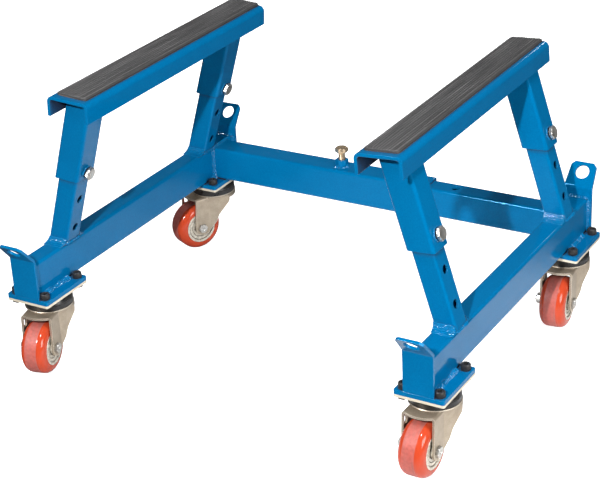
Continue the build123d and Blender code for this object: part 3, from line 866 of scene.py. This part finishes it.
for corner in CORNERS:
    place, axle = wheel_place(corner)
    side_reach = half_span(corner + "_tyre", axle)
    boss_reach = half_span(corner + "_hub", axle)
    hub_radius = radius_of(corner + "_hub", 2)
    section = tyre_section(hub_radius + BORE_GAP, radius_of(corner + "_tyre", 2), HALF_TREAD, side_reach)
    tyre_shape = spun([(radius, along) for radius, along, _ in section], ROUND_STEPS)
    tyre = stand_in(corner + "_tyre_cast", corner + "_tyre", corner + "_wheel", (place, tyre_shape))
    paint_mask(tyre, "tread", [mask for _, _, mask in section] * ROUND_STEPS)
    angles = [2 * math.pi * k / ROUND_STEPS for k in range(ROUND_STEPS)]
    paint_mask(tyre, "grime", [mask * grime_at(angle, along, WHEEL_GRIME[corner])
                               for angle in angles for _, along, mask in section])
    profile = [(HUB_BORE, boss_reach), (HUB_BOSS, boss_reach)]
    profile += [(radius, side_reach - depth) for radius, depth in HUB_RINGS] + [(hub_radius, side_reach)]
    hub_shape = spun(list(reversed(hub_section(profile))), ROUND_STEPS)
    stand_in(corner + "_hub_turned", corner + "_hub", corner + "_wheel", (place, hub_shape), sharp=HUB_SHARP,
             finish="hub_zinc")
print("tyres and hubs for", len(CORNERS), "wheels")

# %% [markdown]
# ## Swivel rings
# The black ring between the fork and the top plate is the ball race's dust cover. A shallow groove parts it
# in two, and a thin bright lip of the fork's steel shows under it. The groove could be cut out of a plain
# ring, but it is easier to draw it in the section and spin that about the kingpin.

# %% Swivel rings
RING_BORE = 15
# The cover's section goes in from its radius and up from its base, and near the top down from the top.
COVER_RISE = ((1.0, 0.0), (0.3, 0.6), (0.0, 1.6), (0.0, 7.6), (0.6, 8.2), (0.6, 8.8), (0.0, 9.4), (0.3, 10.4))
COVER_TOP = ((2.6, 1.4), (3.6, 0.0))
# The lip's section goes out from the cover's radius and up from its base.
LIP_SECTION = ((-0.6, -0.2), (0.9, -0.2), (0.9, 0.7), (0.5, 1.2), (-0.6, 1.2))

for corner in CORNERS:
    ring = corner + "_swivel_ring"
    low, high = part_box(ring)
    base, top = low[2] / MM, high[2] / MM
    radius = radius_of(ring, 0)
    kingpin = Vector(joints[corner + "_swivel_turn"]["pos_m"])
    place = Matrix.Translation((kingpin.x, kingpin.y, 0))
    cover = [(RING_BORE, base)]
    cover += [(radius - inset, base + rise) for inset, rise in COVER_RISE]
    cover += [(radius - inset, top - drop) for inset, drop in COVER_TOP]
    cover += [(RING_BORE, top)]
    stand_in(corner + "_ring_cover", ring, corner + "_swivel", (place, spun(cover, ROUND_STEPS)))
    lip = spun([(radius + beyond, base + rise) for beyond, rise in LIP_SECTION], ROUND_STEPS)
    add_piece(corner + "_ring_lip", gathered([(place, lip)]), corner + "_swivel", "fork_zinc")
print("swivel rings for", len(CORNERS), "casters")

# %% [markdown]
# ## Bolts and screws
# Hex heads have a chamfer that cuts their corners round, screw heads have a knurl and a hex socket, and
# every thread shows as fine grooves. Rings of points give all of these: the hexagon is a radius by angle,
# and a chamfer is the same hexagon held under a cap. A true thread climbs in a helix, but at this size level
# grooves look the same and keep the mesh simple.

# %% Threads and heads
THREAD_PITCH = 1.5
THREAD_DEPTH = 0.55
HEX_STEPS = 72
SEAT_CHAMFER = 0.4
FACE_CHAMFER = 0.8
CORNER_CUT = 0.525
FACE_CUT = 0.48
DIMPLE_EDGE = 0.40
DIMPLE_FLOOR = 0.37
DIMPLE_DEPTH = 0.25


def thread(start, end, radius):
    """Grooves of a thread between two heights, as pairs of height and radius."""
    levels = []
    count = max(1, int((end - start) / THREAD_PITCH))
    for index in range(count):
        height = start + (end - start) * index / count
        levels += [(height, radius - THREAD_DEPTH), (height + (end - start) / count / 2, radius)]
    return levels


def hex_head(seat_height, top, flats):
    """Levels of a chamfered hex head with a shallow dimple in its face."""
    return [(seat_height, hexagon(flats, flats * CORNER_CUT)), (seat_height + SEAT_CHAMFER, hexagon(flats)),
            (top - FACE_CHAMFER, hexagon(flats)), (top, hexagon(flats, flats * FACE_CUT)),
            (top, flats * DIMPLE_EDGE), (top - DIMPLE_DEPTH, flats * DIMPLE_FLOOR)]


print("threads of", THREAD_PITCH, "mm pitch")

# %% Caster screws
SCREW_RADIUS = 4.0
SCREW_HEAD = 6.5
SCREW_PLAIN = 6
SCREW_POINT = 0.8
SCREW_CROWN = 1.0
SCREW_RIM = 0.9
SCREW_TURN = 0.7
KNURL_DEPTH = 0.16
KNURL_TEETH = 24
SOCKET_FLATS = 6.2
SOCKET_DEPTH = 4
SCREW_SHARP = 40
SCREW_SPACING = (49.0, 71.0)
SCREW_SPOTS = [(x * SCREW_SPACING[0] / 2, y * SCREW_SPACING[1] / 2) for x in (-1, 1) for y in (-1, 1)]


def knurl(angle):
    """Radius by angle of a screw head's knurled side."""
    return SCREW_HEAD - KNURL_DEPTH * (1 + math.cos(KNURL_TEETH * angle)) / 2


def screw_shape(tip, seat_height, top):
    """Socket-head screw about Z, with a knurled head and a hex socket."""
    grooves = thread(tip + SCREW_POINT, seat_height - SCREW_PLAIN, SCREW_RADIUS)
    shank = [(tip, SCREW_RADIUS - SCREW_POINT), *grooves, (seat_height, SCREW_RADIUS)]
    head = [(seat_height, SCREW_HEAD - SEAT_CHAMFER), (seat_height + SEAT_CHAMFER, knurl),
            (top - SCREW_CROWN, knurl), (top, SCREW_HEAD - SCREW_RIM), (top, hexagon(SOCKET_FLATS)),
            (top - SOCKET_DEPTH, hexagon(SOCKET_FLATS))]
    return turned(shank + head, ROUND_STEPS)


for side in SIDES:
    node = side + "_caster_screws"
    low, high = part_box(node)
    shape = screw_shape(low[2] / MM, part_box(side + "_rail")[0][2] / MM, high[2] / MM)
    places = []
    for end in ("front", "rear"):
        kingpin = joints[f"{side}_{end}_swivel_turn"]["pos_m"]
        for index, (x, y) in enumerate(SCREW_SPOTS):
            turn = Matrix.Rotation(SCREW_TURN * index + len(end), 4, "Z")
            places.append((Matrix.Translation((kingpin[0] + x * MM, kingpin[1] + y * MM, 0)) @ turn, shape))
    stand_in(side + "_socket_screws", node, side + "_frame", *places, sharp=SCREW_SHARP)
    print(len(places), "screws in the", side, "frame")

# %% Lock bolts
LOCK_RADIUS = 5.0
LOCK_TIP = 4.0
LOCK_POINT = 1.0
LOCK_FLATS = 17.0
LEG_HEAD = 4.2
CROSS_HEAD = 6.4
SEAT_CLEARANCE = 0.05


def lock_shank(tip, seat_height):
    """Levels of a lock bolt's threaded shank."""
    return [(tip, LOCK_TIP), *thread(tip + LOCK_POINT, seat_height, LOCK_RADIUS), (seat_height, LOCK_RADIUS)]


for corner in CORNERS:
    node = corner + "_leg_bolt"
    outward = -Vector(joints[node + "_lock"]["axis"]).normalized()
    middle, low, high = span_along(node, outward)
    seat_height = high / MM - LEG_HEAD + SEAT_CLEARANCE
    levels = lock_shank(low / MM, seat_height) + hex_head(seat_height, high / MM, LOCK_FLATS)
    place = seat(middle, outward, (0, 1, 0))
    stand_in(corner + "_leg_bolt_hex", node, node, (place, turned(levels, HEX_STEPS)))
middle, low, high = span_along("cross_lock_bolt", (0, 0, 1))
seat_height = high / MM - CROSS_HEAD
place = seat(middle, (0, 0, 1), (0, 1, 0))
head = turned(hex_head(seat_height, high / MM, LOCK_FLATS), HEX_STEPS)
stand_in("cross_bolt_head", "cross_lock_bolt", "cross_lock_bolt", (place, head))
shank = turned(lock_shank(low / MM, seat_height), HEX_STEPS)
add_piece("cross_bolt_shank", gathered([(place, shank)]), "cross_lock_bolt", slot_of("cross_lock_bolt"))
print("leg bolts at", len(CORNERS), "corners, and the cross bolt")

# %% Axles
AXLE_RADIUS = 4.0
AXLE_TIP = 3.3
AXLE_POINT = 0.8
AXLE_HEAD = 3.4
AXLE_FLATS = 13
AXLE_SEAT_CUT = 7.0
AXLE_FACE_CUT = 6.4
# Pairs of depth below the head's face and radius, down into the dent that the press leaves.
AXLE_DENT = ((0.0, 2.8), (0.9, 2.0), (1.1, 0.6))
NUT_FROM_TIP = 2
NUT_CHAMFER = 0.5

for corner in CORNERS:
    node = corner + "_axle_bolt"
    place, axle = wheel_place(corner)
    start = Vector(joints[corner + "_wheel_roll"]["pos_m"]).dot(axle)
    _, low, high = span_along(node, axle)
    tip, top = (low - start) / MM, (high - start) / MM
    grip = top - AXLE_HEAD
    sides, seat_cut = hexagon(AXLE_FLATS), hexagon(AXLE_FLATS, AXLE_SEAT_CUT)
    face_cut = hexagon(AXLE_FLATS, AXLE_FACE_CUT)
    levels = [(tip, AXLE_TIP), *thread(tip + AXLE_POINT, -grip, AXLE_RADIUS), (-grip, AXLE_RADIUS)]
    levels += [(grip, AXLE_RADIUS), (grip, seat_cut), (grip + SEAT_CHAMFER, sides)]
    levels += [(top - FACE_CHAMFER, sides), (top, face_cut)]
    levels += [(top - depth, radius) for depth, radius in AXLE_DENT]
    nut_face = tip + NUT_FROM_TIP
    nut_levels = [(nut_face, face_cut), (nut_face + FACE_CHAMFER, sides), (-grip - NUT_CHAMFER, sides),
                  (-grip, seat_cut)]
    stand_in(corner + "_axle_hardware", node, corner + "_swivel", (place, turned(levels, HEX_STEPS)),
             (place, turned(nut_levels, HEX_STEPS)))
print("axles for", len(CORNERS), "wheels")

# %% [markdown]
# ## Welds
# The frame is held by fillet welds, painted over with the rest. A bead is a rounded triangle swept along an
# inside corner, whose size ripples with the welder's hand. The feet of the legs have wide hollow welds of
# several passes. A bump on the steel could hint at them, but thick glossy paint on real ripples gives the
# white specks along the seams.

# %% Fillet beads
WELD_STEP = 0.5
LEAST_STEPS = 6
RIPPLE_PITCH = 3.2
ARC_POINTS = 6
BEAD_LEAST, BEAD_RIPPLE, BEAD_HAND = 0.95, 0.25, 0.55
BEAD_END, BEAD_TAPER = 0.45, 0.55
BEAD_ROOT = 0.12
BEAD_HOLLOW = 0.20
BEAD_LUMPS = 0.45
LUMPS_PER_MM, LUMPS_ACROSS = 0.60, 0.8
HAND_PER_MM, HAND_SPREAD, HAND_SEED = 0.10, 3.7, 0.5


def weld_line(start, end, first, second):
    """Ends and plate directions of a weld as vectors, its length in millimetres and its count of steps."""
    start, end = Vector(start), Vector(end)
    length = (end - start).length / MM
    steps = max(LEAST_STEPS, int(length / WELD_STEP))
    return start, end, Vector(first).normalized(), Vector(second).normalized(), length, steps


def bead_ripple(along, length, size, seed):
    """Size of a bead at a place along it, as a share, with its even ripple, the hand and its tapered ends."""
    ripple = BEAD_LEAST + BEAD_RIPPLE * abs(math.sin(math.pi * along / RIPPLE_PITCH + seed))
    ripple += BEAD_HAND * wobble(along * HAND_PER_MM, seed * HAND_SPREAD, HAND_SEED)
    return ripple * min(1.0, BEAD_END + BEAD_TAPER * min(along, length - along) / size)


def bead(start, end, first, second, size, seed):
    """Rippled bead along an inside corner; first and second are directions that lie on the two plates."""
    start, end, first, second, length, steps = weld_line(start, end, first, second)
    rings = []
    for step in range(steps + 1):
        along = length * step / steps
        reach = size * bead_ripple(along, length, size, seed) * MM
        centre = start.lerp(end, step / steps)
        ring = [centre - (first + second) * (BEAD_ROOT * size * MM)]
        for k in range(ARC_POINTS + 1):
            angle = math.pi / 2 * k / ARC_POINTS
            way = first * math.cos(angle) + second * math.sin(angle)
            lump = BEAD_LUMPS * wobble(along * LUMPS_PER_MM, k * LUMPS_ACROSS, seed) * math.sin(2 * angle)
            ring.append(centre + way * reach * (1 - BEAD_HOLLOW * math.sin(2 * angle) + lump))
        rings.append(ring)
    return skin(rings)


def nut_beads(place, flats, size, seed):
    """Short beads round the foot of a hex nut that stands on a placement's XY plane."""
    reach = flats / math.sqrt(3) * MM
    turns = [k * math.pi / 3 for k in range(6)]
    corners = [place @ (Vector((math.cos(turn), math.sin(turn), 0)) * reach) for turn in turns]
    beads = []
    for k, corner in enumerate(corners):
        other = corners[(k + 1) % 6]
        outward = (corner + other) / 2 - place.translation
        beads.append(bead(corner, other, outward, place.to_3x3().col[2], size, seed + k))
    return beads


print("bead ripples every", RIPPLE_PITCH, "mm")

# %% Hollow welds
HOLLOW_POINTS = 36
PASSES = 5
PASS_HEIGHT = 0.55
HOLLOW_ROOT = 0.4
HOLLOW_HAND, HOLLOW_HAND_PER_MM = 0.10, 0.15
SWAY, SWAY_PER_MM, SWAY_ACROSS = 0.9, 0.16, 2
PASS_LUMPS_PER_MM, PASS_LUMPS_ACROSS = 0.5, 16
TOE_SLOPE = 6


def pass_height(along, share, seed):
    """Height of the passes above the hollow at a place along and across the weld, in millimetres."""
    toe = min(1.0, TOE_SLOPE * share, TOE_SLOPE * (1 - share))
    sway = SWAY * wobble(along * SWAY_PER_MM, share * SWAY_ACROSS, seed)
    ridge = PASS_HEIGHT * abs(math.sin(math.pi * PASSES * share + sway))
    lump = PASS_HEIGHT * wobble(along * PASS_LUMPS_PER_MM, share * PASS_LUMPS_ACROSS, seed)
    return toe * (ridge + lump)


def hollow_weld(start, end, first, second, reaches, seed):
    """Wide hollow weld of several passes between two plates, with its own reach on each."""
    start, end, first, second, length, steps = weld_line(start, end, first, second)
    away = (first + second).normalized()
    rings = []
    for step in range(steps + 1):
        along = length * step / steps
        centre = start.lerp(end, step / steps)
        ring = [centre - away * (HOLLOW_ROOT * MM)]
        for k in range(HOLLOW_POINTS + 1):
            share = k / HOLLOW_POINTS
            hand = 1 + HOLLOW_HAND * wobble(along * HOLLOW_HAND_PER_MM, share, seed)
            spot = first * (reaches[0] * hand * (1 - math.sin(math.pi / 2 * share)))
            spot += second * (reaches[1] * hand * (1 - math.cos(math.pi / 2 * share)))
            ring.append(centre + (spot + away * pass_height(along, share, seed)) * MM)
        rings.append(ring)
    return skin(rings)


print("hollow welds of", PASSES, "passes")

# %% Where the welds go
# Sizes and reaches are in millimetres. A seed number is multiplied by a coordinate of the weld, so that welds
# side by side ripple differently. The one nut on the cross tube uses its number as it is.
PLATE_BEAD, PLATE_SEED = 4.2, 90
END_BEAD, END_SEED = 2.8, 70
LEG_BEAD, LEG_SEED = 2.6, 50
END_TOP_BEAD, END_TOP_SEED = 3.0, 40
TUBE_SIDE_BEAD, TUBE_TOP_BEAD, TUBE_SEED = 3.6, 2.2, 80
SLEEVE_NUT_BEAD, SLEEVE_NUT_SEED = 0.75, 30
CROSS_NUT_BEAD, CROSS_NUT_SEED = 2.6, 5
FOOT_REACHES, FOOT_SEED = (13, 8.5), 60
PLATE_BEAD_START = 14 * MM
PLATE_BEAD_STOP = 15 * MM
BOLT_GAP = 2.4
SLEEVE_NUT = 1.2
# The foot of the sleeve's nut lies below the bolt's face by the head, the gap under it and the nut.
NUT_FOOT = (LEG_HEAD + BOLT_GAP + SLEEVE_NUT) * MM


def rail_end_welds(side, end, inward):
    """Beads and hollow welds at one end of a rail, where the plates and the leg meet it."""
    low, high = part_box(side + "_rail")
    plate_low, plate_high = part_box(f"{side}_{end}_mount_plate")
    leg_low, leg_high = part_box(f"{side}_{end}_leg")
    slide = Vector(joints[side + "_bunk_height"]["axis"]).normalized()
    end_y, far_y = (low[1], plate_high[1]) if end == "front" else (high[1], plate_low[1])
    first_y, last_y = end_y + inward * PLATE_BEAD_START, far_y - inward * PLATE_BEAD_STOP
    foot, top, up, along = low[2], high[2], (0, 0, 1), (0, inward, 0)
    rows = []
    for x, out in ((low[0], (-1, 0, 0)), (high[0], (1, 0, 0))):
        rows += [((x, first_y, foot), (x, last_y, foot), out, up, PLATE_BEAD, x * PLATE_SEED + end_y),
                 ((x, end_y, foot), (x, end_y, top), out, along, END_BEAD, x * END_SEED),
                 ((x, leg_low[1], top), (x, leg_high[1], top), out, slide, LEG_BEAD, x * LEG_SEED)]
    rows += [((low[0], end_y, top), (high[0], end_y, top), along, up, END_TOP_BEAD, end_y * END_TOP_SEED)]
    beads = [bead(*row) for row in rows]
    for y, out in ((leg_low[1], (0, -1, 0)), (leg_high[1], (0, 1, 0))):
        start, stop = (low[0], y, top), (high[0], y, top)
        beads.append(hollow_weld(start, stop, out, slide, FOOT_REACHES, y * FOOT_SEED))
    return beads


def sleeve_nut_welds(corner, end_y):
    """Small beads round the nut that a leg bolt goes through."""
    outward = -Vector(joints[corner + "_leg_bolt_lock"]["axis"]).normalized()
    middle, _, top = span_along(corner + "_leg_bolt", outward)
    foot = seat(middle + outward * (top - NUT_FOOT), outward, (0, 1, 0))
    return nut_beads(foot, LOCK_FLATS, SLEEVE_NUT_BEAD, end_y * SLEEVE_NUT_SEED)


def cross_tube_welds(tube, face_x, inner):
    """Beads on the four sides of a cross tube, where it meets the inner face of a rail."""
    low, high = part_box(tube)
    away = (inner, 0, 0)
    rows = [((face_x, y, low[2]), (face_x, y, high[2]), (0, out, 0), away, TUBE_SIDE_BEAD, y * TUBE_SEED)
            for y, out in ((low[1], -1), (high[1], 1))]
    rows += [((face_x, low[1], z), (face_x, high[1], z), (0, 0, out), away, TUBE_TOP_BEAD, z * TUBE_SEED)
             for z, out in ((low[2], -1), (high[2], 1))]
    return [bead(*row) for row in rows]


print("seams of", END_BEAD, "to", PLATE_BEAD, "mm at the rail ends")

# %% Welds on the frames and bunks
WELD_SHARP = 70
welds = {f"{side}_{part}": [] for part in ("frame", "bunk") for side in SIDES}
for side, tube, inner in (("left", "outer_cross_tube", 1), ("right", "inner_cross_tube", -1)):
    low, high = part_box(side + "_rail")
    for end, inward, end_y in (("front", 1, low[1]), ("rear", -1, high[1])):
        welds[side + "_frame"] += rail_end_welds(side, end, inward)
        welds[side + "_bunk"] += sleeve_nut_welds(f"{side}_{end}", end_y)
    welds[side + "_frame"] += cross_tube_welds(tube, high[0] if inner > 0 else low[0], inner)
nut_low, nut_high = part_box("cross_lock_nut")
nut_middle = (Vector(nut_low) + Vector(nut_high)) / 2
nut_foot = seat((nut_middle.x, nut_middle.y, nut_low[2]), (0, 0, 1), (0, 1, 0))
welds["left_frame"] += nut_beads(nut_foot, LOCK_FLATS, CROSS_NUT_BEAD, CROSS_NUT_SEED)
for body, beads in welds.items():
    shape = gathered([(Matrix.Identity(4), one) for one in beads])
    piece = add_piece(body + "_welds", shape, body, "blue_powder_coat", sharp=WELD_SHARP, finish="weld_paint")
    print(piece.name, len(beads), "beads")

# %% [markdown]
# ## Edges of the steel
# Cut and folded steel never has a knife edge, and paint rounds it further. The CAD pieces keep their shape,
# so a chain of modifiers welds their corner points together, joins the triangles of each flat face, rounds
# each sharp edge by a fraction of a millimetre and evens out the shading. That thin band is what catches the
# light along tubes and plates. A bevel in the material would look alike in a render, but only geometry
# reaches the exported meshes. The forks also keep the crease of their pressing, which even shading would
# hide. The bunk channels and the legs get their own paints here: painted shade, with some dirt, reaches right
# across the inside of the fold, and further out from the ends of the sleeves.

# %% Soft edges on the CAD pieces
EDGE_ROUNDING = {"rail": 0.5, "end_plate": 0.5, "mount_plate": 0.5, "leg": 0.4, "sleeve": 0.4,
                 "caster_plate": 0.3, "fork": 0.35, "bunk_channel": 0.5, "cross_tube": 0.4, "lock_nut": 0.5,
                 "caster_nuts": 0.4, "kingpins": 0.4}
OWN_PAINT = {"bunk_channel": "channel_paint", "_leg": "leg_paint"}
MERGE_DISTANCE = 0.00001
FLAT_ANGLE = math.radians(0.5)
SHARP_ANGLE = math.radians(40)
CREASE_ANGLE = math.radians(10)
ROUNDING_STEPS = 2


def soften(node, width):
    """Round a node's sharp edges for the eye, without touching its mesh."""
    piece = nodes[node]
    weld = piece.modifiers.new("weld_corners", "WELD")
    weld.merge_threshold = MERGE_DISTANCE
    flat = piece.modifiers.new("flat_faces", "DECIMATE")
    flat.decimate_type = "DISSOLVE"
    flat.angle_limit = FLAT_ANGLE
    bevel = piece.modifiers.new("round_edges", "BEVEL")
    bevel.width = width * MM
    bevel.segments = ROUNDING_STEPS
    bevel.limit_method = "ANGLE"
    bevel.angle_limit = SHARP_ANGLE
    bevel.harden_normals = False
    if node.endswith("fork"):
        crease = piece.modifiers.new("keep_crease", "EDGE_SPLIT")
        crease.split_angle = CREASE_ANGLE
        crease.use_edge_sharp = False
    shade = piece.modifiers.new("even_shading", "WEIGHTED_NORMAL")
    shade.keep_sharp = False


softened = 0
for node in nodes:
    for ending, paint in OWN_PAINT.items():
        if node.endswith(ending):
            nodes[node].material_slots[0].material = FINISHES[paint]
    for ending, width in EDGE_ROUNDING.items():
        if node.endswith(ending):
            soften(node, width)
            softened += 1
print(softened, "CAD pieces with soft edges")
